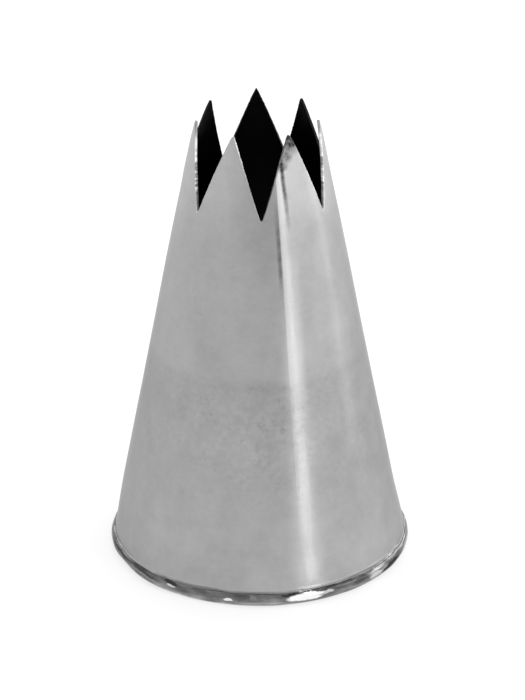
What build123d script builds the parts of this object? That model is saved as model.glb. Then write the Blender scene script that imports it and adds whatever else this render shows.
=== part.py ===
"""Piping nozzle: a rolled and welded cone of thin sheet with a star of teeth at its outlet.

The origin is the centre of the ring that the rim rests on. +Z runs up the axis to the
outlet and -Y is the front. Azimuths are measured from the front towards +X. Lengths
are in millimetres and angles in degrees.
"""
from build123d import *
from math import acos, asin, atan2, cos, degrees, hypot, pi, radians, sin, sqrt, tan
import os

# Sheet that the wall, the teeth and the rim are made of
sheet_thickness = 0.4

# Wall, over its outside
nozzle_height = 51.5
outlet_diameter = 13.0
shoulder_diameter = 17.1
shoulder_drop = 10.3
ring_diameter = 23.2
ring_height = 25.0

# Rolled rim: the roll stands proud of the wall's foot, and its underside is pressed flat
rim_diameter = 32.8
roll_diameter = 2.0
rim_overhang = 0.45
rest_land_width = 0.6
curl_edge_gap = 0.25

# Teeth, cut as notches with rounded roots
tooth_count = 7
notch_depth = 9.0
notch_root_radius = 0.15
tooth_tip_width = 0.5
notch_azimuth = 3.2

# Weld that closes the rolled sheet
weld_azimuth = 19.4
weld_width = 1.0
weld_crown = 0.05

# Every cut runs this far past the metal that it cuts
cut_overrun = 2.0

# Rim roll, in the plane of radius and height
roll_radius = roll_diameter / 2
cavity_radius = roll_radius - sheet_thickness
roll_centre_radius = rim_diameter / 2 - roll_radius
roll_centre_height = sqrt(roll_radius**2 - (rest_land_width / 2) ** 2)
land_half_angle = degrees(asin(rest_land_width / roll_diameter))

# Foot of the wall, where its outside runs into the roll
foot_radius = rim_diameter / 2 - rim_overhang
foot_angle = degrees(acos((foot_radius - roll_centre_radius) / roll_radius))
foot_height = roll_centre_height + roll_radius * sin(radians(foot_angle))

# Outline of the wall's outside, from the outlet down to the foot
wall_outside = [
    (outlet_diameter / 2, nozzle_height),
    (shoulder_diameter / 2, nozzle_height - shoulder_drop),
    (ring_diameter / 2, ring_height),
    (foot_radius, foot_height),
]
wall_lean = atan2(foot_radius - ring_diameter / 2, ring_height - foot_height)
wall_reach = sheet_thickness / cos(wall_lean)

# The inside of the wall ends in the hollow of the roll, and the curled edge stops short of it
inner_foot_radius = foot_radius - wall_reach
inner_foot_angle = degrees(acos((inner_foot_radius - roll_centre_radius) / cavity_radius))
curl_edge_radius = inner_foot_radius - curl_edge_gap
curl_edge_angle = degrees(acos((curl_edge_radius - roll_centre_radius) / cavity_radius))

# A notch is a V whose flanks are tangent to its rounded root
mouth_half_width = outlet_diameter / 2 * sin(pi / tooth_count) - tooth_tip_width / 2
root_centre_depth = notch_depth - notch_root_radius
mouth_to_root_centre = hypot(mouth_half_width, root_centre_depth)
flank_angle = atan2(mouth_half_width, root_centre_depth) - asin(notch_root_radius / mouth_to_root_centre)
flank_apex_depth = mouth_half_width / tan(flank_angle)


def radial_plane(azimuth):
    """Upright plane through the axis that faces outwards at an azimuth, with Y up the axis."""
    outward = (sin(radians(azimuth)), -cos(radians(azimuth)), 0)
    sideways = (cos(radians(azimuth)), sin(radians(azimuth)), 0)
    return Plane(origin=(0, 0, 0), x_dir=sideways, z_dir=outward)


def on_roll(radius, angle):
    """Point of the roll's section at a radius from its centre and an angle from +X."""
    across = roll_centre_radius + radius * cos(radians(angle))
    up = roll_centre_height + radius * sin(radians(angle))
    return (across, up)


def sheet_section():
    """Section of the sheet: wall, roll and curled edge, as one closed outline."""
    roll_centre = (roll_centre_radius, roll_centre_height)
    curl_sweep = 360 - curl_edge_angle
    wall_inside = [(radius - wall_reach, height) for radius, height in wall_outside[:-1]]
    wall_inside.append(on_roll(cavity_radius, inner_foot_angle))
    with BuildSketch(Plane.XZ) as section:
        with BuildLine():
            Polyline(*wall_outside)
            CenterArc(roll_centre, roll_radius, foot_angle, land_half_angle - 90 - foot_angle)
            Line(on_roll(roll_radius, land_half_angle - 90), on_roll(roll_radius, -90 - land_half_angle))
            CenterArc(roll_centre, roll_radius, -90 - land_half_angle, 90 + land_half_angle - curl_sweep)
            Line(on_roll(roll_radius, -curl_sweep), on_roll(cavity_radius, -curl_sweep))
            CenterArc(roll_centre, cavity_radius, -curl_sweep, curl_sweep + inner_foot_angle)
            Polyline(*wall_inside)
            Line(wall_inside[0], wall_outside[0])
        make_face()
    return section.sketch


def crown_section():
    """Section of the weld along the wall: the sheet, with a low crown on both its sides."""
    crown_foot_height = foot_height + roll_radius
    crown_foot_radius = foot_radius - roll_radius * tan(wall_lean)
    outside = wall_outside[:-1] + [(crown_foot_radius, crown_foot_height)]
    raised = [(radius + weld_crown, height) for radius, height in outside]
    sunk = [(radius - wall_reach - weld_crown, height) for radius, height in reversed(outside)]
    with BuildSketch(Plane.XZ) as section:
        with BuildLine():
            Polyline(*raised, *sunk, close=True)
        make_face()
    return section.sketch


def cut_notches():
    """Cut the ring of V notches that leaves the teeth, in the part that is being built."""
    mouth_height = nozzle_height + cut_overrun
    mouth_reach = (flank_apex_depth + cut_overrun) * tan(flank_angle)
    for notch in range(tooth_count):
        with BuildSketch(radial_plane(notch_azimuth + notch * 360 / tooth_count)) as notch_face:
            with BuildLine():
                Polyline(
                    (0, nozzle_height - flank_apex_depth),
                    (mouth_reach, mouth_height),
                    (-mouth_reach, mouth_height),
                    close=True,
                )
            make_face()
            fillet(notch_face.vertices().sort_by(Axis.Y)[0], notch_root_radius)
        extrude(notch_face.sketch, amount=rim_diameter / 2, mode=Mode.SUBTRACT)


def weld_gap(mode):
    """Straight gap between the sheet's two edges, cut from or kept of the part being built."""
    with BuildSketch(radial_plane(weld_azimuth)) as gap_face:
        with Locations((0, nozzle_height / 2)):
            Rectangle(weld_width, nozzle_height + 2 * cut_overrun)
    extrude(gap_face.sketch, amount=rim_diameter / 2 + cut_overrun, mode=mode)


with BuildPart() as cone_shell:
    revolve(sheet_section(), axis=Axis.Z)
    weld_gap(Mode.SUBTRACT)
    cut_notches()

with BuildPart() as seam_weld:
    revolve(sheet_section(), axis=Axis.Z)
    revolve(crown_section(), axis=Axis.Z)
    weld_gap(Mode.INTERSECT)
    cut_notches()

cone_shell.part.label = "cone_shell"
seam_weld.part.label = "seam_weld"

os.makedirs("parts", exist_ok=True)
export_step(cone_shell.part, "parts/cone_shell.step")
export_step(seam_weld.part, "parts/seam_weld.step")
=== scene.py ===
"""Piping nozzle in satin stainless steel: a thin cone with cut teeth, a rolled rim and a seam.

Sizes are in millimetres and become metres where a mesh, a material, a lamp or the camera is
made. Azimuths run from the front (-Y) towards +X. They are in degrees in the tables of spots
and lamps and in the materials' spans of turns, and in radians elsewhere.
"""

import math
from functools import partial

import bpy
from mathutils import Matrix, Vector, noise


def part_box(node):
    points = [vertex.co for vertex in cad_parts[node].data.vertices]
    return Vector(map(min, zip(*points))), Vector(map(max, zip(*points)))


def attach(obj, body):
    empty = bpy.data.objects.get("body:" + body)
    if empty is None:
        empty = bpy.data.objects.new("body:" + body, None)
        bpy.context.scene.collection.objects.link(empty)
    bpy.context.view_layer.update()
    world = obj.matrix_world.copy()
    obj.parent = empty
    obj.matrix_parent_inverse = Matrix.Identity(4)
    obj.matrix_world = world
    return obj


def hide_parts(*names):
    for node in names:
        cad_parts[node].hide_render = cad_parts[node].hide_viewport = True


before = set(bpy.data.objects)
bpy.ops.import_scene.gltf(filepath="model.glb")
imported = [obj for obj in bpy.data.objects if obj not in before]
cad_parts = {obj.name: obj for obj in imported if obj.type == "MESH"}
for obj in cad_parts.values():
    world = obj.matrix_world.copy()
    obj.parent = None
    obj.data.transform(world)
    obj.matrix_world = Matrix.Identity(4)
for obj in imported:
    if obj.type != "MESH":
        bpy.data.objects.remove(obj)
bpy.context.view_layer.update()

MM = 0.001
TURN = 2 * math.pi

# Sheet and wall, over the outside
SHEET = 0.4
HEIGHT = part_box("cone_shell")[1][2] / MM
OUTLET_RADIUS = 6.5
SHOULDER_RADIUS = 8.55
SHOULDER_DROP = 10.3
SHOULDER_HEIGHT = HEIGHT - SHOULDER_DROP
RING_RADIUS = 11.6
RING_HEIGHT = 25.0
BEND_REACH = 1.2

# Waves of the wall: their length upwards, and the height over which they grow above its foot
WAVE_LENGTH = 14.0
WAVE_GROWTH = 4.0

# Rolled rim
RIM_RADIUS = 16.4
RIM_OVERHANG = 0.45
ROLL_RADIUS = 1.0
CAVITY_RADIUS = ROLL_RADIUS - SHEET
REST_LAND = 0.6
CURL_GAP = 0.25
CREASE_DEPTH = 0.05
CREASE_ANGLE = math.radians(47)
CREASE_WANDER = 0.12
CREASE_REACH = 0.5

# The roll sits a little to the right of the wall, whose lower end follows it, and the roll is
# thinner by a share about one place at the left
ROLL_SHIFT = 0.13
SHIFT_TOP = 8.0
THIN_AZIMUTH = math.radians(-67)
THIN_REACH = math.radians(8.5)
THINNING_SHARE = 0.16

# Teeth and notches as the cutter left them. The first notch is just right of the front, with
# the first tooth beyond it, and the rest follow towards +X. The root of each notch lies higher
# than meant by its rise. Each tooth has a cut with a spread at its start and one at its end,
# and leans sideways (+X) and upwards at its tip.
TOOTH_COUNT = 7
NOTCH_DEPTH = 9.0
NOTCH_ROOT_RADIUS = 0.12
NOTCH_AZIMUTHS = tuple(math.radians(turn) for turn in (3.2, 57.3, 104.0, 156.8, 206.2, 263.0, 309.8))
NOTCH_RISES = (0.0, -0.3, 0.0, 1.4, 0.2, 0.0, -0.2)
START_SPREADS = (1.07, 1.1, 1.02, 1.12, 1.05, 1.0, 1.0)
END_SPREADS = (0.97, 1.0, 1.24, 1.02, 1.27, 1.0, 1.05)
TIP_WIDTH = 0.16
TIP_ROUNDING = 0.12
TOOTH_LEAN = (0.0, 0.02, -0.05, 0.1, 0.05, -0.26, 0.06)
TOOTH_RISE = (-0.06, 0.72, 0.0, 0.22, 0.08, 0.7, -0.08)
LEAN_CURVE = 1.4

# The sheet is ground thinner on the teeth, by a share that is full a little below their tips
TIP_THINNING_SHARE = 0.25
FULL_THINNING_DROP = 4.0

# Cut edges of the notches, and the rounds in which the height of a cut settles
CUT_ROUNDING = 0.05
CUT_ROUGHNESS = 0.035
CUT_GRAIN = 3.1
CUT_ROUNDS = 6

# Weld. The sheet's ends were left straight, so the wall peaks a little at the weld, and falls
# away over one reach to its left and another to its right. The peak grows between two heights.
# By the weld the foot flares: above it the wall draws in, most at one height, and is back at
# another. Peak and flare are gone at the first of their turns from the weld and full at the
# second.
WELD_AZIMUTH = math.radians(19.4)
WELD_HALF_WIDTH = 0.5
WELD_PLAY = 0.0015
WELD_CROWN = 0.006
WELD_PEAK = 0.17
PEAK_REACHES = (2.4, 16.0)
PEAK_HEIGHTS = (23.0, 35.0)
PEAK_TURNS = (TURN / 3, TURN / 8)
FOOT_FLARE = 0.13
FLARE_HEIGHT = 5.5
FLARE_TOP = 15.0
FLARE_TURNS = (TURN / 7, TURN / 14)

# Dark line of painted groove shade and bright strip of painted highlight, by their distance from the weld's
# left edge and its middle
GROOVE_SHADE_OFFSET = 0.2
PAINTED_HIGHLIGHT_OFFSET = 0.75

# Heat tint on the tooth beside the weld: azimuth, height, reach and strength of each spot
HEAT_SPOTS = (
    (30.0, 51.2, 2.3, 0.8),
    (24.5, 49.4, 1.2, 0.7),
    (22.3, 48.3, 0.7, 0.7),
    (29.0, 51.25, 0.65, 1.12),
    (33.0, 50.55, 0.8, 1.12),
)

# Painted dark reflections and painted glints of the roll: azimuth, height, reach along and up, and
# brightness
ROLL_SPOTS = (
    (20.0, 1.58, 2.0, 0.1, 0.3),
    (12.0, 1.48, 1.0, 0.13, 0.1),
    (27.5, 1.48, 1.3, 0.13, 0.18),
    (36.0, 1.56, 1.6, 0.09, 0.25),
    (43.5, 1.45, 0.9, 0.2, 0.22),
    (-36.5, 1.46, 1.0, 0.22, 0.12),
    (17.5, 1.0, 2.0, 0.42, 2.9),
    (21.5, 1.34, 1.4, 0.2, 2.6),
    (26.5, 1.18, 1.0, 0.16, 1.6),
    (-12.0, 0.84, 0.5, 0.15, 2.5),
    (-36.0, 1.13, 0.6, 0.15, 1.7),
    (53.5, 1.15, 1.8, 0.46, 0.95),
    (52.0, 0.95, 1.3, 0.27, 1.75),
    (65.0, 0.84, 2.2, 0.5, 0.42),
    (61.6, 0.84, 2.1, 0.32, 0.06),
    (80.0, 0.78, 1.6, 0.42, 1.5),
    (54.5, 1.34, 0.7, 0.16, 0.7),
    (74.0, 1.33, 0.8, 0.14, 0.35),
    (-52.0, 0.72, 2.3, 0.12, 0.38),
    (-52.0, 1.26, 2.6, 0.16, 0.18),
    (-2.3, 1.25, 0.4, 0.3, 0.55),
    (-24.0, 0.18, 4.6, 0.28, 1.7),
    (53.0, 1.68, 1.6, 0.1, 0.8),
)

# Painted brightness of the roll by height, for what it reflects. A colour ramp holds it divided by the gain.
ROLL_SHADES = ((0.16, 1.05), (0.5, 0.88), (0.84, 0.64), (1.16, 0.37), (1.52, 0.3), (1.68, 0.42))
ROLL_GAIN = 1.2

# Lamps: name, azimuth, distance, width, height, brightness and height of the foot
LAMPS = (
    ("streak", 35.1, 65.0, 2.6, 80.0, 7.0, 0.5),
    ("streak_foot", 35.1, 64.5, 2.6, 5.0, 9.4, 0.5),
    ("right_front", 67.0, 200.0, 120.0, 70.0, 0.85, 24.0),
    ("right_side", 98.0, 250.0, 130.0, 85.0, 0.85, 0.5),
    ("right_streak", 92.7, 80.0, 3.0, 60.0, 1.85, 0.5),
    ("right_back", 143.0, 300.0, 380.0, 85.0, 3.4, 0.5),
    ("back_left", -156.0, 250.0, 200.0, 80.0, 4.0, 30.0),
)

# Camera, as fitted to the photograph
CAMERA_DISTANCE = 692.12
CAMERA_ELEVATION = math.radians(27.978)
CAMERA_TURN = math.radians(0.0498)
CAMERA_PITCH = math.radians(26.2545)
CAMERA_ROLL = math.radians(-0.2531)
FOCAL_PIXELS = 6241.5
FRAME_PIXELS = (525, 700)
SENSOR = 36.0
CLIP_START = 10.0

# Floor, and how strongly it and the world light the nozzle and show behind it
FLOOR_HALF = 3000.0
WORLD_LIGHT = 0.8
WORLD_SHOWN = 1.0
FLOOR_LEVEL = 0.45
FLOOR_GLOW = 0.66

# Rows and columns of the mesh. Rows crowd towards the crease between wall and roll. Beside the
# weld close columns, at shares of the way round, take the place of the first even ones.
COLUMNS = 88 * TOOTH_COUNT
CLOSE_COLUMNS = (0.0005, 0.0011, 0.0019, 0.003)
FIRST_EVEN_COLUMN = 3
TOOTH_ROWS = 20
WALL_ROWS = 46
WALL_CROWDING = 1.25
ROLL_ROWS = 16
ROLL_CROWDING = 1.2
CAVITY_ROWS = 8
INNER_ROWS = 14
INNER_TOOTH_ROWS = 8
WELD_COLUMNS = 12
SHARP_ANGLE = math.radians(60)

# Places of the rolled rim's section
ROLL_CENTRE_RADIUS = RIM_RADIUS - ROLL_RADIUS
ROLL_CENTRE_HEIGHT = math.sqrt(ROLL_RADIUS**2 - (REST_LAND / 2) ** 2)
LAND_ANGLE = math.asin(REST_LAND / 2 / ROLL_RADIUS)
FOOT_RADIUS = RIM_RADIUS - RIM_OVERHANG
FOOT_ANGLE = math.acos((FOOT_RADIUS - ROLL_CENTRE_RADIUS) / ROLL_RADIUS)
FOOT_HEIGHT = ROLL_CENTRE_HEIGHT + ROLL_RADIUS * math.sin(FOOT_ANGLE)
WALL_LEAN = math.atan2(FOOT_RADIUS - RING_RADIUS, RING_HEIGHT - FOOT_HEIGHT)
WALL_REACH = SHEET / math.cos(WALL_LEAN)
INNER_FOOT_RADIUS = FOOT_RADIUS - WALL_REACH
INNER_FOOT_ANGLE = math.acos((INNER_FOOT_RADIUS - ROLL_CENTRE_RADIUS) / CAVITY_RADIUS)
CURL_END_RADIUS = INNER_FOOT_RADIUS - CURL_GAP
CURL_END_ANGLE = math.acos((CURL_END_RADIUS - ROLL_CENTRE_RADIUS) / CAVITY_RADIUS) - TURN

# A notch is a V whose flanks are tangent to its rounded root
MOUTH_HALF_WIDTH = OUTLET_RADIUS * math.sin(TURN / 2 / TOOTH_COUNT) - TIP_WIDTH / 2
ROOT_CENTRE_DEPTH = NOTCH_DEPTH - NOTCH_ROOT_RADIUS
FLANK_ANGLE = math.atan2(MOUTH_HALF_WIDTH, ROOT_CENTRE_DEPTH) - math.asin(
    NOTCH_ROOT_RADIUS / math.hypot(MOUTH_HALF_WIDTH, ROOT_CENTRE_DEPTH)
)
APEX_HEIGHT = HEIGHT - MOUTH_HALF_WIDTH / math.tan(FLANK_ANGLE)

# The rows of the teeth end a little below the notches
TOOTH_FOOT_DROP = 1.0
TOOTH_FOOT_HEIGHT = HEIGHT - NOTCH_DEPTH - TOOTH_FOOT_DROP

WALL_LINE = (
    (FOOT_HEIGHT, FOOT_RADIUS),
    (RING_HEIGHT, RING_RADIUS),
    (SHOULDER_HEIGHT, SHOULDER_RADIUS),
    (HEIGHT, OUTLET_RADIUS),
)

# Rounding of a cut edge, from the face of the sheet to the cut: shares of its reach inward and down
EDGE_ROUNDING = [(1 - math.cos(turn), 1 - math.sin(turn)) for turn in (0, TURN / 12, TURN / 6)] + [(1, 0)]


def blend(low, high, share):
    """Value that lies a share of the way from low to high."""
    return low + (high - low) * share


def smooth_share(start, end, value):
    """0 before start, 1 past end and a smooth rise between; end may be the lower one."""
    share = min(max((value - start) / (end - start), 0), 1)
    return share * share * (3 - 2 * share)


def turn_apart(first, second):
    """Signed turn from the second azimuth to the first, the short way round."""
    return (first - second + TURN / 2) % TURN - TURN / 2


def straight_radius(height):
    """Outside radius of the wall at a height, with sharp bends."""
    for (low, low_radius), (high, high_radius) in zip(WALL_LINE, WALL_LINE[1:]):
        if height <= high:
            break
    return blend(low_radius, high_radius, (height - low) / (high - low))


def wall_radius(height):
    """Outside radius of the wall at a height, with its bends rounded."""
    nearby = [straight_radius(height + step * BEND_REACH) for step in (-1, -0.5, 0, 0.5, 1)]
    return sum(nearby) / len(nearby)


def within(height, depth):
    """Radius at a depth into the sheet, which is ground thinner towards the tips of the teeth."""
    thinning = TIP_THINNING_SHARE * smooth_share(TOOTH_FOOT_HEIGHT, HEIGHT - FULL_THINNING_DROP, height)
    return wall_radius(height) - depth * (1 - thinning)


def round_place(azimuth, reach, along):
    """Place for noise that runs round the axis at a reach, so that it closes without a step."""
    return Vector((math.sin(azimuth) * reach, math.cos(azimuth) * reach, along))


def waves(place, wave, ripple, fineness):
    """Noise made of long waves with finer ripples on them."""
    return wave * noise.noise(place) + ripple * noise.noise(place * fineness)


def dent(azimuth, height):
    """How far the wall stands off a true cone: long, shallow waves left by the rolling."""
    place = round_place(azimuth, reach=1.6, along=height / WAVE_LENGTH)
    return waves(place, wave=0.05, ripple=0.012, fineness=4)


def roll_wave(azimuth, height):
    """How far the roll stands off a true ring."""
    return waves(round_place(azimuth, reach=5, along=height), wave=0.05, ripple=0.02, fineness=3)


def crease_wander(azimuth, height):
    """How far the crease between wall and roll wanders up and down."""
    place = round_place(azimuth, reach=9, along=0.5)
    return CREASE_WANDER * noise.noise(place) * math.exp(-(((height - FOOT_HEIGHT) / CREASE_REACH) ** 2))


def foot_flare(azimuth, height):
    """How far the wall draws in above its foot, which flares a little by the weld."""
    rising = smooth_share(FOOT_HEIGHT, FLARE_HEIGHT, height) * smooth_share(FLARE_TOP, FLARE_HEIGHT, height)
    return -FOOT_FLARE * rising * smooth_share(*FLARE_TURNS, abs(turn_apart(azimuth, WELD_AZIMUTH)))


def weld_peak(azimuth, height):
    """How far the wall stands up towards the weld: more in its upper half."""
    turn = turn_apart(azimuth, WELD_AZIMUTH)
    apart = max(abs(turn) * straight_radius(height) - WELD_HALF_WIDTH, 0)
    peak = WELD_PEAK * smooth_share(*PEAK_HEIGHTS, height) * smooth_share(*PEAK_TURNS, abs(turn))
    return peak * math.exp(-apart / PEAK_REACHES[0 if turn < 0 else 1])


def thinned(azimuth, radius, height):
    """A point of the roll's section, drawn in towards its centre where the roll is thin."""
    off_place = turn_apart(azimuth, THIN_AZIMUTH) / THIN_REACH
    kept = 1 - THINNING_SHARE * math.exp(-(off_place**2))
    return blend(ROLL_CENTRE_RADIUS, radius, kept), blend(ROLL_CENTRE_HEIGHT, height, kept)


def tooth_at(azimuth):
    """The tooth at an azimuth and the turns from its two notches to there."""
    first = NOTCH_AZIMUTHS[0]
    azimuth = (azimuth - first) % TURN + first
    ends = NOTCH_AZIMUTHS[1:] + (first + TURN,)
    for tooth, (start, end) in enumerate(zip(NOTCH_AZIMUTHS, ends)):
        if azimuth < end:
            break
    return tooth, azimuth - start, end - azimuth


def lean(azimuth, height):
    """Sideways and upward shift of a point by the lean of its tooth."""
    tooth, _, _ = tooth_at(azimuth)
    share = max(height - (HEIGHT - NOTCH_DEPTH), 0) / NOTCH_DEPTH
    return TOOTH_LEAN[tooth] * share**LEAN_CURVE, TOOTH_RISE[tooth] * share**LEAN_CURVE


def notch_edge(across, grown):
    """Height of a notch's edge at a distance across from its middle, with the notch grown."""
    root = NOTCH_ROOT_RADIUS + grown
    if across < root * math.cos(FLANK_ANGLE):
        return HEIGHT - ROOT_CENTRE_DEPTH - math.sqrt(root**2 - across**2)
    return APEX_HEIGHT - grown / math.sin(FLANK_ANGLE) + across / math.tan(FLANK_ANGLE)


def soft_lower(first, second, reach):
    """The lower of two heights, rounded where they meet."""
    gap = max(reach - abs(first - second), 0) / reach
    return min(first, second) - gap * gap * reach / 4


def cut_height(azimuth_at, depth, inset):
    """Height where the cut edge meets a column, at a depth into the sheet, inset from the edge."""
    height = HEIGHT - NOTCH_DEPTH / 2
    rounding = TIP_ROUNDING / math.tan(FLANK_ANGLE)
    for _ in range(CUT_ROUNDS):
        outer = wall_radius(height)
        azimuth = azimuth_at(outer - depth)
        tooth, before, after = tooth_at(azimuth)
        grain = round_place(azimuth, outer, height - depth) * CUT_GRAIN
        grown = inset + CUT_ROUGHNESS * noise.noise(grain)
        rising = notch_edge(outer * math.sin(before) / START_SPREADS[tooth], grown)
        rising += NOTCH_RISES[tooth]
        falling = notch_edge(outer * math.sin(after) / END_SPREADS[tooth], grown)
        falling += NOTCH_RISES[(tooth + 1) % TOOTH_COUNT]
        height = soft_lower(soft_lower(rising, falling, rounding), HEIGHT - grown, rounding)
    return height


def roll_row(material, radius, angle):
    """Row of the roll's section, at a radius from its centre and an angle from level."""
    across = ROLL_CENTRE_RADIUS + radius * math.cos(angle)
    return material, across, ROLL_CENTRE_HEIGHT + radius * math.sin(angle)


def rim_rows():
    """Rows of the rim from the foot of the wall round to the curled edge and back inside."""
    rows = [roll_row("outside", ROLL_RADIUS, (FOOT_ANGLE + CREASE_ANGLE) / 2)]
    rows.append(roll_row("outside", ROLL_RADIUS, CREASE_ANGLE))
    rows.append(roll_row("rolled", ROLL_RADIUS - CREASE_DEPTH, CREASE_ANGLE - CREASE_DEPTH / ROLL_RADIUS))
    for step in range(1, ROLL_ROWS + 1):
        share = (step / ROLL_ROWS) ** ROLL_CROWDING
        rows.append(roll_row("rolled", ROLL_RADIUS, blend(CREASE_ANGLE, LAND_ANGLE - TURN / 4, share)))
    for step in range(ROLL_ROWS + 1):
        material = "rolled" if step < ROLL_ROWS else "inside"
        angle = blend(-LAND_ANGLE - TURN / 4, CURL_END_ANGLE, step / ROLL_ROWS)
        rows.append(roll_row(material, ROLL_RADIUS, angle))
    for step in range(CAVITY_ROWS + 1):
        angle = blend(CURL_END_ANGLE, INNER_FOOT_ANGLE, step / CAVITY_ROWS)
        rows.append(roll_row("inside", CAVITY_RADIUS, angle))
    return rows


RIM_ROWS = rim_rows()
FOOT_ROW = TOOTH_ROWS + WALL_ROWS
INNER_FOOT_ROW = FOOT_ROW + 1 + len(RIM_ROWS)


def outside_rows(azimuth_at):
    """Rows of the wall's outside, from the cut edge down to the foot."""
    top = cut_height(azimuth_at, 0, CUT_ROUNDING)
    heights = [blend(top, TOOTH_FOOT_HEIGHT, step / TOOTH_ROWS) for step in range(TOOTH_ROWS)]
    for step in range(WALL_ROWS):
        share = 1 - (1 - step / WALL_ROWS) ** WALL_CROWDING
        heights.append(blend(TOOTH_FOOT_HEIGHT, FOOT_HEIGHT, share))
    rows = [("outside", wall_radius(height), height) for height in heights]
    return rows + [("outside", FOOT_RADIUS, FOOT_HEIGHT)]


def inside_rows(azimuth_at):
    """Rows of the wall's inside, from the hollow of the roll up to the cut edge."""
    foot = RIM_ROWS[-1][2]
    top = cut_height(azimuth_at, WALL_REACH, CUT_ROUNDING)
    heights = [blend(foot, TOOTH_FOOT_HEIGHT, step / INNER_ROWS) for step in range(1, INNER_ROWS + 1)]
    heights += [
        blend(TOOTH_FOOT_HEIGHT, top, step / INNER_TOOTH_ROWS) for step in range(1, INNER_TOOTH_ROWS)
    ]
    return [("inside", within(height, WALL_REACH), height) for height in heights]


def cut_row(azimuth_at, material, depth, inset):
    """Row of the cut, at a depth into the sheet and inset from the edge."""
    height = cut_height(azimuth_at, depth, inset)
    return material, within(height, depth), height


def cut_rows(azimuth_at):
    """Rows over the cut, from the inside of the sheet to its outside, with rounded edges."""
    rows = []
    for inward, down in EDGE_ROUNDING:
        material = "cut" if down == 0 else "inside"
        depth = WALL_REACH - CUT_ROUNDING * inward
        rows.append(cut_row(azimuth_at, material, depth, CUT_ROUNDING * down))
    rows.append(cut_row(azimuth_at, "cut", WALL_REACH / 2, 0))
    for inward, down in reversed(EDGE_ROUNDING[1:]):
        rows.append(cut_row(azimuth_at, "cut", CUT_ROUNDING * inward, CUT_ROUNDING * down))
    return rows


def section(azimuth_at):
    """Closed section of the sheet in one column: (material, radius, height) for each row."""
    return outside_rows(azimuth_at) + RIM_ROWS + inside_rows(azimuth_at) + cut_rows(azimuth_at)


def placed(azimuth, row, material, radius, height, raised):
    """Point and UV of one row of the section, with the wear and the unevenness of the sheet."""
    on_face = {"outside": 1, "rolled": 0.5}.get(material, 0)
    off = dent(azimuth, height) * smooth_share(FOOT_HEIGHT, FOOT_HEIGHT + WAVE_GROWTH, height)
    off += weld_peak(azimuth, height) + foot_flare(azimuth, height)
    off += on_face * raised
    if material == "rolled":
        off += roll_wave(azimuth, height)
    if FOOT_ROW <= row < INNER_FOOT_ROW:
        radius, height = thinned(azimuth, radius, height)
    height += crease_wander(azimuth, height)
    side, rise = lean(azimuth, height)
    side += ROLL_SHIFT * smooth_share(SHIFT_TOP, FOOT_HEIGHT, height)
    across = (radius + off) * math.sin(azimuth) + side
    along = -(radius + off) * math.cos(azimuth)
    point = (across * MM, along * MM, (height + rise) * MM)
    return point, (azimuth / TURN, height / HEIGHT)


def swept_faces(column_count, row_count):
    """Faces between neighbouring columns, and one flat face at either end."""
    faces = []
    for column in range(column_count - 1):
        here = column * row_count
        there = here + row_count
        for row in range(row_count):
            after = (row + 1) % row_count
            faces.append((here + row, here + after, there + after, there + row))
    last = (column_count - 1) * row_count
    faces.append(tuple(reversed(range(row_count))))
    faces.append(tuple(range(last, last + row_count)))
    return faces


def make_strip(name, shares, azimuth_of, raise_by, materials):
    """Closed mesh of the sheet's section swept over columns, with flat ends."""
    slots = list(materials)
    points = []
    uvs = []
    for share in shares:
        azimuth_at = partial(azimuth_of, share)
        rows = section(azimuth_at)
        for row, (material, radius, height) in enumerate(rows):
            point, uv = placed(azimuth_at(radius), row, material, radius, height, raise_by(share))
            points.append(point)
            uvs.append(uv)
    faces = swept_faces(len(shares), len(rows))
    row_slots = [slots.index(material) for material, _, _ in rows]
    mesh = bpy.data.meshes.new(name)
    mesh.from_pydata(points, [], faces)
    for key in slots:
        mesh.materials.append(materials[key])
    side_count = len(faces) - 2
    face_slots = row_slots * (len(shares) - 1) + [slots.index("inside")] * 2
    mesh.polygons.foreach_set("material_index", face_slots)
    mesh.polygons.foreach_set("use_smooth", [True] * side_count + [False] * 2)
    layer = mesh.uv_layers.new(name="around_and_up")
    for loop in mesh.loops:
        layer.data[loop.index].uv = uvs[loop.vertex_index]
    mesh.update()
    mesh.set_sharp_from_angle(angle=SHARP_ANGLE)
    piece = bpy.data.objects.new(name, mesh)
    bpy.context.scene.collection.objects.link(piece)
    return piece


def sheet_columns():
    """Shares of the way round the sheet, from the weld's one edge to the other."""
    even = [step / COLUMNS for step in range(COLUMNS + 1)]
    close = list(CLOSE_COLUMNS) + [1 - share for share in CLOSE_COLUMNS]
    return sorted(even[:1] + close + even[FIRST_EVEN_COLUMN:-FIRST_EVEN_COLUMN] + even[-1:])


def sheet_azimuth(share, radius):
    """Azimuth of a column of the sheet, which starts and ends at the weld."""
    half = math.asin(WELD_HALF_WIDTH / radius)
    return WELD_AZIMUTH + half + share * (TURN - 2 * half)


def weld_azimuth(share, radius):
    """Azimuth of a column of the weld, which keeps a hair's play in its gap."""
    half = math.asin((WELD_HALF_WIDTH - WELD_PLAY) / radius)
    return WELD_AZIMUTH + (2 * share - 1) * half


def flat(share):
    """The sheet has no crown."""
    return 0


def crown(share):
    """How far the weld's face is raised, a share of the way across it."""
    return WELD_CROWN * (1 - (2 * share - 1) ** 2)


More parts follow.
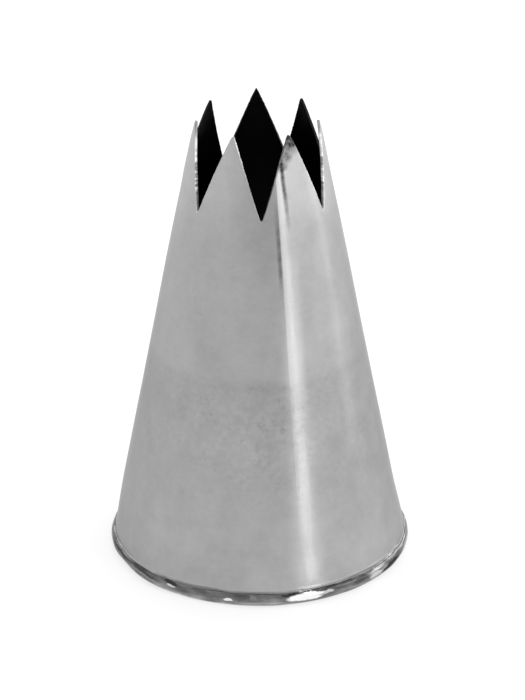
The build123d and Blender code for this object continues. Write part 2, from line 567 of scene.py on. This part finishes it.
class Nodes:
    """Shorthand for building the node tree of one material or world."""

    def __init__(self, owner):
        owner.use_nodes = True
        self.tree = owner.node_tree
        self.tree.nodes.clear()

    def add(self, kind, settings=(), **inputs):
        """A node with settings, and with inputs by name or by number, in_0 being the first.

        Each input gets a value or the socket of another node.
        """
        node = self.tree.nodes.new(kind)
        for key, value in dict(settings).items():
            setattr(node, key, value)
        for key, value in inputs.items():
            which = int(key[3:]) if key.startswith("in_") else key.replace("_", " ")
            socket = node.inputs[which]
            if isinstance(value, bpy.types.NodeSocket):
                self.tree.links.new(value, socket)
            else:
                socket.default_value = value
        return node

    def math(self, operation, first, second=0.0):
        """Result socket of an operation on two numbers."""
        return self.add("ShaderNodeMath", {"operation": operation}, in_0=first, in_1=second).outputs[0]

    def vector_math(self, operation, first, second=(0, 0, 0)):
        """Outputs of an operation on two vectors."""
        return self.add("ShaderNodeVectorMath", {"operation": operation}, in_0=first, in_1=second).outputs

    def product(self, first, *others):
        """Result socket of numbers multiplied in turn."""
        for other in others:
            first = self.math("MULTIPLY", first, other)
        return first

    def one_less(self, value):
        """Socket of 1 less a value."""
        return self.math("SUBTRACT", 1.0, value)

    def apart(self, first, second):
        """Socket of the distance between two numbers."""
        return self.math("ABSOLUTE", self.math("SUBTRACT", first, second))

    def mix(self, share, first, second):
        """Socket that goes from the first value to the second by a share."""
        return self.add("ShaderNodeMix", in_0=share, in_2=first, in_3=second).outputs[0]

    def ramp(self, value, low, high, to_low=0.0, to_high=1.0):
        """Socket that takes a value from one range to another and holds it there."""
        made = self.add(
            "ShaderNodeMapRange", From_Min=low, From_Max=high, To_Min=to_low, To_Max=to_high, Value=value
        )
        return made.outputs[0]

    def over_mm(self, value, span, to_low=0.0, to_high=1.0):
        """Ramp of a length over a span in millimetres."""
        return self.ramp(value, span[0] * MM, span[1] * MM, to_low, to_high)

    def over_degrees(self, value, span, to_low=0.0, to_high=1.0):
        """Ramp of a turn over a span in degrees."""
        return self.ramp(value, math.radians(span[0]), math.radians(span[1]), to_low, to_high)

    def stretched(self, place, across, along):
        """Socket of a place for noise that is finer along the axis than across it."""
        return self.add("ShaderNodeMapping", Vector=place, Scale=(across, across, along)).outputs[0]

    def noise(self, vector, scale=1.0, detail=3.0, roughness=0.5):
        """Noise value about 0.5."""
        made = self.add("ShaderNodeTexNoise", Vector=vector, Scale=scale, Detail=detail, Roughness=roughness)
        return made.outputs[0]

    def speckle(self, place, scale, low):
        """Fine speckling between a low level and 1."""
        speckle_noise = (0.38, 0.62)
        return self.ramp(self.noise(place, scale, roughness=0.7), *speckle_noise, low, 1.0)

    def height_of(self, place):
        """Height of a place, in metres."""
        return self.add("ShaderNodeSeparateXYZ", Vector=place).outputs[2]

    def turn_of(self, place, azimuth=0.0):
        """Signed turn of a place from an azimuth, in radians."""
        turned = self.add(
            "ShaderNodeVectorRotate", {"rotation_type": "Z_AXIS"}, Vector=place, Angle=-azimuth
        ).outputs[0]
        split = self.add("ShaderNodeSeparateXYZ", Vector=turned)
        return self.math("ARCTAN2", split.outputs[0], self.math("MULTIPLY", split.outputs[1], -1.0))


def grey(level):
    """Opaque colour of a grey level."""
    return (level, level, level, 1)


def ring_shade(nodes, place):
    """Darker below the ring, past a fine line, and brighter on the teeth and up the sides by painted light.
    """
    low_wall = (10, 21)
    low_levels = (0.985, 0.935)
    ring = (RING_HEIGHT - 0.7, RING_HEIGHT + 0.3)
    fine_line = RING_HEIGHT - 0.8
    fine_line_reach = (0, 0.35)
    fine_line_strength = 0.015
    shoulder = (SHOULDER_HEIGHT - 1, SHOULDER_HEIGHT + 5)
    teeth_painted_light = (1.0, 1.13)
    upper_wall = (28, 45)
    side_painted_light = 0.16
    side_turns = (56, 78)
    back_turns = (110, 150)
    height = nodes.height_of(place)
    below = nodes.over_mm(height, low_wall, *low_levels)
    # Painted light: brighter on the teeth above the shoulder.
    above = nodes.over_mm(height, shoulder, *teeth_painted_light)
    shade = nodes.mix(nodes.over_mm(height, ring), below, above)
    line = nodes.over_mm(nodes.apart(height, fine_line * MM), fine_line_reach, fine_line_strength, 0)
    shade = nodes.math("SUBTRACT", shade, line)
    turned = nodes.math("ABSOLUTE", nodes.turn_of(place))
    # Painted light: the sides are brighter high up.
    sides = nodes.product(
        nodes.over_degrees(turned, side_turns),
        nodes.over_degrees(turned, back_turns, 1, 0),
        nodes.over_mm(height, upper_wall, 0, side_painted_light),
    )
    return nodes.math("ADD", shade, sides)


def rough_shade(nodes, place):
    """Fine mottling and patches of dark pits below the ring, most of it in front."""
    low_wall = (9, 17)
    ring = (RING_HEIGHT - 0.8, RING_HEIGHT + 0.2)
    front_turns = (18, 42)
    side_share = 0.4
    patch_noise = (0.46, 0.6)
    pit_noise = (0.52, 0.7)
    pit_strength = 0.16
    mottle_noise = (0.3, 0.7)
    mottle_reach = 0.058
    height = nodes.height_of(place)
    turned = nodes.math("ABSOLUTE", nodes.turn_of(place))
    rough = nodes.product(
        nodes.over_mm(height, low_wall),
        nodes.over_mm(height, ring, 1, 0),
        nodes.over_degrees(turned, front_turns, 1, side_share),
    )
    patches = nodes.ramp(nodes.noise(place, scale=330.0, detail=2.0), *patch_noise)
    fine = nodes.noise(place, scale=1900.0, detail=2.0, roughness=0.6)
    coarse = nodes.noise(place, scale=1300.0, detail=2.0, roughness=0.6)
    pits = nodes.ramp(fine, *pit_noise, 0, pit_strength)
    mottle = nodes.ramp(coarse, *mottle_noise, -mottle_reach, mottle_reach)
    dulled = nodes.math("ADD", nodes.product(pits, patches), mottle)
    return nodes.one_less(nodes.product(dulled, rough))


def seam_darkening(nodes, height, apart):
    """How much darker the wall is to the left of the weld, above the rim and more by the teeth."""
    reach = (-6, -1)
    low_wall = (4, 14)
    low_strength = 0.14
    teeth = (36, 43)
    teeth_strength = 0.17
    left = nodes.math("LESS_THAN", apart, -WELD_HALF_WIDTH * MM)
    low = nodes.over_mm(height, low_wall, 0, low_strength)
    high = nodes.over_mm(height, teeth, 0, teeth_strength)
    return nodes.product(left, nodes.over_mm(apart, reach), nodes.math("ADD", low, high))


def seam_line(nodes, place, height, apart):
    """Strength of the dark line along the weld's left edge, below the notch: painted shade of a groove."""
    reach = (0.08, 0.32)
    strength = 0.54
    lower_end = (34, 37)
    upper_end = (40.5, 45)
    off_line = nodes.apart(apart, -(WELD_HALF_WIDTH + GROOVE_SHADE_OFFSET) * MM)
    return nodes.product(
        nodes.over_mm(off_line, reach, strength, 0),
        nodes.speckle(place, scale=900.0, low=0.6),
        nodes.over_mm(height, lower_end),
        nodes.over_mm(height, upper_end, 1, 0),
    )


def seam_burn_and_groove_shade(nodes, place, height, apart):
    """Strength of the burnt line on the tooth, which drifts from the weld's right edge to its middle: heat
    tint and painted groove shade.
    """
    reach = (0.08, 0.34)
    strength = 0.95
    drift_heights = (41, 49)
    drift_reaches = (0.62 * MM, 0.14 * MM)
    lower_end = (41, 46)
    drift = nodes.over_mm(height, drift_heights, *drift_reaches)
    return nodes.product(
        nodes.one_less(nodes.over_mm(nodes.apart(apart, drift), reach)),
        nodes.speckle(place, scale=2200.0, low=0.72),
        nodes.over_mm(height, lower_end, 0, strength),
    )


def seam_painted_highlight(nodes, height, apart):
    """How much brighter the painted highlight strip along the weld's right edge is, in the middle heights.
    """
    reach = (0.3, 0.9)
    gain = 0.13
    lower_end = (20, 24)
    upper_end = (37, 39)
    off_strip = nodes.apart(apart, PAINTED_HIGHLIGHT_OFFSET * MM)
    return nodes.product(
        nodes.over_mm(off_strip, reach, gain, 0),
        nodes.over_mm(height, lower_end),
        nodes.over_mm(height, upper_end, 1, 0),
    )


def seam_shade(nodes, place):
    """Darker to the left of the weld, brighter on its right by a painted highlight, and dark lines by parts
    of its edges: painted groove shade, with heat tint on the tooth.
    """
    height = nodes.height_of(place)
    level_place = nodes.vector_math("MULTIPLY", place, (1, 1, 0))[0]
    reach = nodes.vector_math("LENGTH", level_place)["Value"]
    apart = nodes.product(nodes.turn_of(place, WELD_AZIMUTH), reach)
    brighter = nodes.math("ADD", 1.0, seam_painted_highlight(nodes, height, apart))
    kept = nodes.math("SUBTRACT", brighter, seam_darkening(nodes, height, apart))
    line = seam_line(nodes, place, height, apart)
    burn_and_groove_shade = seam_burn_and_groove_shade(nodes, place, height, apart)
    return nodes.product(kept, nodes.one_less(line), nodes.one_less(burn_and_groove_shade))


def foot_shade(nodes, place):
    """Painted shade on the rounding at the foot of the wall: on the right and far left, and unevenly in
    front.
    """
    rounding = (1.86, 2.03)
    strength = 0.57
    crease = (1.72, 1.8)
    right_turns = (22, 40)
    left_turns = (-55, -88)
    left_gain = 1.3
    lighter_turns = (54, 58)
    lighter_shares = (0.5, 0.15)
    deeper_turns = (66, 73)
    deeper_share = 0.85
    uneven_rounding = (1.74, 1.91)
    uneven_strength = 0.52
    uneven_left_end = (-46, -40)
    uneven_right_end = (20, 30)
    by_weld_turns = (2, 8)
    by_weld_share = 0.6
    wander_noise = (0.35, 0.65)
    wander_reach = 0.07 * MM
    height = nodes.height_of(place)
    turned = nodes.turn_of(place)
    lighter = nodes.over_degrees(turned, lighter_turns, *lighter_shares)
    deeper_shade = nodes.over_degrees(turned, deeper_turns, 0, deeper_share)
    at_crease = nodes.math("ADD", lighter, deeper_shade)
    right = nodes.over_degrees(turned, right_turns)
    left = nodes.over_degrees(turned, left_turns, 0, left_gain)
    # Painted shade over the rounding, which darkens the lamps' highlights there.
    sides = nodes.product(
        nodes.over_mm(height, rounding, strength, 0),
        nodes.over_mm(height, crease, at_crease, 1),
        nodes.math("ADD", right, left),
    )
    wandering = nodes.noise(place, scale=260.0, detail=2.0)
    wander = nodes.ramp(wandering, *wander_noise, -wander_reach, wander_reach)
    uneven = nodes.product(
        nodes.over_mm(nodes.math("ADD", height, wander), uneven_rounding, uneven_strength, 0),
        nodes.over_degrees(turned, uneven_left_end),
        nodes.over_degrees(turned, by_weld_turns, 1, by_weld_share),
        nodes.over_degrees(turned, uneven_right_end, 1, 0),
    )
    return nodes.one_less(nodes.math("ADD", sides, uneven))


def heat_shade(nodes, place):
    """Speckled heat tint about the point of the tooth beside the weld."""
    darkest = 0.92
    shade = 0.0
    for degrees, height, reach, strength in HEAT_SPOTS:
        azimuth = math.radians(degrees)
        radius = wall_radius(height)
        spot = Vector((radius * math.sin(azimuth), -radius * math.cos(azimuth), height)) * MM
        off_spot = nodes.vector_math("DISTANCE", place, spot)["Value"]
        part = nodes.over_mm(off_spot, (reach / 2, reach), strength, 0)
        shade = nodes.math("MAXIMUM", shade, part)
    shade = nodes.product(shade, nodes.speckle(place, scale=2200.0, low=0.6))
    return nodes.one_less(nodes.math("MINIMUM", shade, darkest))


def jagged_shade(nodes, place):
    """Bright cut with painted glints in bars half way up at the sides, plain in front, dull low by the weld,
    painted dark behind.
    """
    weld_side = math.radians(14)
    by_weld_turns = (7, 11)
    by_weld_strength = 0.7
    low_notch = (HEIGHT - 6, HEIGHT - 4)
    bar_noise = (0.42, 0.58)
    bar_levels = (0.6, 2.3)
    root = (HEIGHT - 7.8, HEIGHT - 6.8)
    root_level = 1.5
    upper_cut = (HEIGHT - 4.4, HEIGHT - 3.4)
    upper_share = 0.75
    upper_level = 2.0
    tip = (HEIGHT - 1.9, HEIGHT - 1.2)
    tip_share = 0.4
    side_turns = (40, 48)
    back_turns = (82, 98)
    back_painted_shade = 0.05
    height = nodes.height_of(place)
    signed = nodes.turn_of(place)
    turned = nodes.math("ABSOLUTE", signed)
    dull_by_weld = nodes.product(
        nodes.over_degrees(nodes.apart(signed, weld_side), by_weld_turns, by_weld_strength, 0),
        nodes.over_mm(height, low_notch, 1, 0),
    )
    barring = nodes.noise(nodes.stretched(place, across=500, along=2600), detail=2.0)
    # Painted glints in bars along the cut, and painted light at its root and upper part.
    bars = nodes.ramp(barring, *bar_noise, *bar_levels)
    bars = nodes.mix(nodes.over_mm(height, root, 1, 0), bars, root_level)
    bars = nodes.mix(nodes.over_mm(height, upper_cut, 0, upper_share), bars, upper_level)
    bars = nodes.product(bars, nodes.over_mm(height, tip, 1, tip_share))
    shade = nodes.mix(nodes.over_degrees(turned, side_turns), nodes.one_less(dull_by_weld), bars)
    # Painted shade: the cut behind is near black.
    return nodes.mix(nodes.over_degrees(turned, back_turns), shade, back_painted_shade)


def bent_place(nodes, place):
    """A place shifted a little by noise, so that what is drawn with it has uneven edges."""
    reach = 0.9 * MM
    made = nodes.add("ShaderNodeTexNoise", Vector=place, Scale=500.0, Detail=3.0, Roughness=0.6)
    shift = nodes.vector_math("SUBTRACT", made.outputs[1], (0.5, 0.5, 0.5))[0]
    shift = nodes.add("ShaderNodeVectorMath", {"operation": "SCALE"}, in_0=shift, Scale=reach).outputs[0]
    return nodes.vector_math("ADD", place, shift)[0]


def shoulder_shade(nodes, height):
    """Painted brightness of the roll by height, from its underside to its shoulder, for what it reflects."""
    span = 2 * ROLL_RADIUS
    ramp = nodes.add("ShaderNodeValToRGB", Fac=nodes.over_mm(height, (0, span)))
    elements = ramp.color_ramp.elements
    elements[0].position = ROLL_SHADES[0][0] / span
    elements[1].position = ROLL_SHADES[-1][0] / span
    for up, _ in ROLL_SHADES[1:-1]:
        elements.new(up / span)
    for element, (_, shade) in zip(elements, ROLL_SHADES):
        element.color = grey(shade / ROLL_GAIN)
    return nodes.product(ramp.outputs[0], ROLL_GAIN)


def roll_places(nodes, height):
    """Long places of painted reflection and shade on the roll: turns over which each begins, its brightness,
    and where it holds.
    """
    middle_band = nodes.over_mm(height, (1.0, 1.2), 0.6, 0.16)
    upper = nodes.over_mm(height, (1.2, 1.4))
    shoulder = nodes.over_mm(height, (1.36, 1.48))
    below_crease = nodes.over_mm(height, (1.5, 1.6), 1, 0)
    crease = nodes.over_mm(height, (1.52, 1.6))
    return (
        ((68, 80), 1.05, 1.0),
        ((-56, -66), middle_band, 1.0),
        ((-56, -66), 0.85, shoulder),
        ((-74, -84), 0.3, below_crease),
        ((45, 50), 0.52, upper),
        ((56, 61), 0.27, upper),
        ((56, 61), 0.48, crease),
        ((75, 85), 0.8, upper),
        ((86, 96), 1.05, upper),
    )


def roll_spot(nodes, place, height, spot):
    """Share of a spot of the roll at a place, as an ellipse with a soft edge."""
    soft_edge = (0.6, 1.2)
    degrees, up, along_reach, up_reach, _ = spot
    along = nodes.product(nodes.turn_of(place, math.radians(degrees)), RIM_RADIUS / along_reach)
    high = nodes.math("DIVIDE", nodes.math("SUBTRACT", height, up * MM), up_reach * MM)
    off = nodes.math("ADD", nodes.product(along, along), nodes.product(high, high))
    return nodes.ramp(off, *soft_edge, 1, 0)


def roll_painted_reflections(nodes, place):
    """The roll is dark on its shoulder and lighter underneath and at its far sides, with spots: painted
    reflections, glints and shade.
    """
    back_turns = (110, 160)
    patch_noise = (0.35, 0.65)
    patch_levels = (0.62, 1.45)
    bent = bent_place(nodes, place)
    height = nodes.height_of(bent)
    turned = nodes.turn_of(bent)
    front = nodes.over_degrees(nodes.math("ABSOLUTE", turned), back_turns, 1, 0)
    patchy = nodes.noise(nodes.stretched(place, across=300, along=1500), roughness=0.6)
    patches = nodes.ramp(patchy, *patch_noise, *patch_levels)
    shade = nodes.product(shoulder_shade(nodes, height), patches)
    for span, gain, part in roll_places(nodes, height):
        share = nodes.product(nodes.over_degrees(turned, span), part, front)
        shade = nodes.mix(share, shade, gain)
    for spot in ROLL_SPOTS:
        shade = nodes.mix(roll_spot(nodes, bent, height, spot), shade, spot[-1])
    return shade


def metal(name, level, roughness, grain=1.0, shades=()):
    """Stainless steel with fine brushing round the axis, soft mottling and small pits."""
    texture_noise = (0.3, 0.7)
    pit_noise = (0.68, 0.76)
    pit_strength = 0.1
    roughness_noise = (0.25, 0.75)
    roughness_play = 0.03
    edge_level = 0.7
    bump_strength = 0.03
    bump_depth = 0.04 * MM
    brushing_share = 0.5 * grain
    material = bpy.data.materials.new(name)
    nodes = Nodes(material)
    place = nodes.add("ShaderNodeTexCoord").outputs["Object"]
    brushing = nodes.noise(nodes.stretched(place, across=90, along=5200), detail=4.0, roughness=0.65)
    mottling = nodes.noise(place, scale=420.0, detail=4.0, roughness=0.6)
    clouds = nodes.noise(place, scale=110.0)
    specks = nodes.noise(place, scale=1500.0, detail=2.0, roughness=0.6)
    pitted = nodes.ramp(specks, *pit_noise)
    shade = nodes.one_less(nodes.product(pitted, pit_strength))
    for texture, reach in (
        (mottling, 0.05 * grain),
        (clouds, 0.06),
        (brushing, 0.015 * grain),
        (specks, 0.025 * grain),
    ):
        shade = nodes.math("ADD", shade, nodes.ramp(texture, *texture_noise, -reach, reach))
    for shading in shades:
        shade = nodes.product(shade, shading(nodes, place))
    bright = nodes.product(shade, level)
    colour = nodes.add("ShaderNodeCombineColor", in_0=bright, in_1=bright, in_2=bright).outputs[0]
    roughness_reach = (roughness - roughness_play, roughness + roughness_play)
    spread = nodes.ramp(mottling, *roughness_noise, *roughness_reach)
    bumps = nodes.math("SUBTRACT", nodes.product(brushing, brushing_share), pitted)
    bump = nodes.add("ShaderNodeBump", Strength=bump_strength, Distance=bump_depth, Height=bumps)
    shader = nodes.add(
        "ShaderNodeBsdfPrincipled",
        Base_Color=colour,
        Metallic=1.0,
        Roughness=spread,
        Specular_Tint=grey(edge_level),
        Normal=bump.outputs[0],
    )
    nodes.add("ShaderNodeOutputMaterial", Surface=shader.outputs[0])
    return material


def add_nozzle():
    """The sheet and its weld, each standing for its CAD node."""
    wall_shades = (ring_shade, rough_shade, foot_shade, heat_shade, seam_shade)
    shell_metals = {
        "outside": metal("satin_outside", level=0.38, roughness=0.31, shades=wall_shades),
        "rolled": metal("polished_roll", level=0.34, roughness=0.13, grain=0.5, shades=(roll_painted_reflections,)),
        # Painted shade: the inside is near black, darker than steel, for the dark hollow.
        "inside": metal("inside_painted_dark", level=0.018, roughness=0.4),
        "cut": metal("cut_painted_glints", level=0.4, roughness=0.35, grain=3.0, shades=(jagged_shade, heat_shade)),
    }
    weld_metal = metal("dressed_weld", level=0.39, roughness=0.33, shades=wall_shades)
    weld_metals = dict(shell_metals, outside=weld_metal)
    shell = make_strip("nozzle_sheet", sheet_columns(), sheet_azimuth, flat, shell_metals)
    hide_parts("cone_shell")
    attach(shell, "root")
    weld_columns = [step / WELD_COLUMNS for step in range(WELD_COLUMNS + 1)]
    weld = make_strip("nozzle_seam", weld_columns, weld_azimuth, crown, weld_metals)
    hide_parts("seam_weld")
    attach(weld, "root")


def seen_as_background(nodes):
    """1 for the rays of the camera, of mirrors and of clear things, 0 for the light that falls."""
    path = nodes.add("ShaderNodeLightPath")
    seen = nodes.math("MAXIMUM", path.outputs["Is Camera Ray"], path.outputs["Is Glossy Ray"])
    return nodes.math("MAXIMUM", seen, path.outputs["Is Transmission Ray"])


def add_world():
    """World that lights the nozzle softly and shows as white."""
    world = bpy.data.worlds.new("studio")
    bpy.context.scene.world = world
    nodes = Nodes(world)
    falls = nodes.add("ShaderNodeBackground", Color=grey(1.0), Strength=WORLD_LIGHT).outputs[0]
    shows = nodes.add("ShaderNodeBackground", Color=grey(1.0), Strength=WORLD_SHOWN).outputs[0]
    mixed = nodes.add("ShaderNodeMixShader", in_0=seen_as_background(nodes), in_1=falls, in_2=shows)
    nodes.add("ShaderNodeOutputWorld", Surface=mixed.outputs[0])


def add_floor():
    """Pale floor that keeps the nozzle's shadow."""
    half = FLOOR_HALF * MM
    corners = [(-half, -half, 0), (half, -half, 0), (half, half, 0), (-half, half, 0)]
    mesh = bpy.data.meshes.new("floor")
    mesh.from_pydata(corners, [], [(0, 1, 2, 3)])
    floor = bpy.data.objects.new("floor", mesh)
    bpy.context.scene.collection.objects.link(floor)
    paper = bpy.data.materials.new("pale_floor")
    mesh.materials.append(paper)
    nodes = Nodes(paper)
    matt = nodes.add("ShaderNodeBsdfDiffuse", Color=grey(FLOOR_LEVEL))
    glowing = nodes.product(seen_as_background(nodes), FLOOR_GLOW)
    glow = nodes.add("ShaderNodeEmission", Color=grey(1.0), Strength=glowing)
    both = nodes.add("ShaderNodeAddShader", in_0=matt.outputs[0], in_1=glow.outputs[0])
    nodes.add("ShaderNodeOutputMaterial", Surface=both.outputs[0])


def placed_at(place, right, up, backward):
    """Matrix of an object at a place, with its X to the right, Y up and Z backward."""
    return Matrix.Translation(place) @ Matrix((right, up, backward)).transposed().to_4x4()


def add_lamp(name, degrees, distance, width, height, brightness, foot):
    """Upright rectangular lamp that faces the axis, with its foot at a height above the floor."""
    azimuth = math.radians(degrees)
    lamp = bpy.data.lights.new(name, "AREA")
    lamp.shape = "RECTANGLE"
    lamp.size = width * MM
    lamp.size_y = height * MM
    lamp.energy = brightness * math.pi * lamp.size * lamp.size_y
    holder = bpy.data.objects.new(name, lamp)
    bpy.context.scene.collection.objects.link(holder)
    outward = Vector((math.sin(azimuth), -math.cos(azimuth), 0))
    up = Vector((0, 0, 1))
    place = (distance * outward + (height / 2 + foot) * up) * MM
    holder.matrix_world = placed_at(place, up.cross(outward), up, outward)


def add_lamps():
    """Narrow lamps for the streaks, broad ones all round the right and one at the back left."""
    for lamp in LAMPS:
        add_lamp(*lamp)


def add_camera():
    """Camera at the photograph's place and angle."""
    camera = bpy.data.cameras.new("camera")
    camera.sensor_width = SENSOR
    camera.lens = FOCAL_PIXELS * SENSOR / max(FRAME_PIXELS)
    camera.clip_start = CLIP_START * MM
    ahead = Vector((
        math.sin(CAMERA_TURN) * math.cos(CAMERA_PITCH),
        math.cos(CAMERA_TURN) * math.cos(CAMERA_PITCH),
        -math.sin(CAMERA_PITCH),
    ))
    right = Vector((math.cos(CAMERA_TURN), -math.sin(CAMERA_TURN), 0))
    up = right.cross(ahead)
    rolled_right = math.cos(CAMERA_ROLL) * right + math.sin(CAMERA_ROLL) * up
    rolled_up = -math.sin(CAMERA_ROLL) * right + math.cos(CAMERA_ROLL) * up
    away = Vector((0, -math.cos(CAMERA_ELEVATION), math.sin(CAMERA_ELEVATION)))
    holder = bpy.data.objects.new("camera", camera)
    bpy.context.scene.collection.objects.link(holder)
    holder.matrix_world = placed_at(CAMERA_DISTANCE * MM * away, rolled_right, rolled_up, -ahead)
    bpy.context.scene.camera = holder


add_nozzle()
add_world()
add_floor()
add_lamps()
add_camera()
bpy.context.scene.view_settings.view_transform = "Standard"
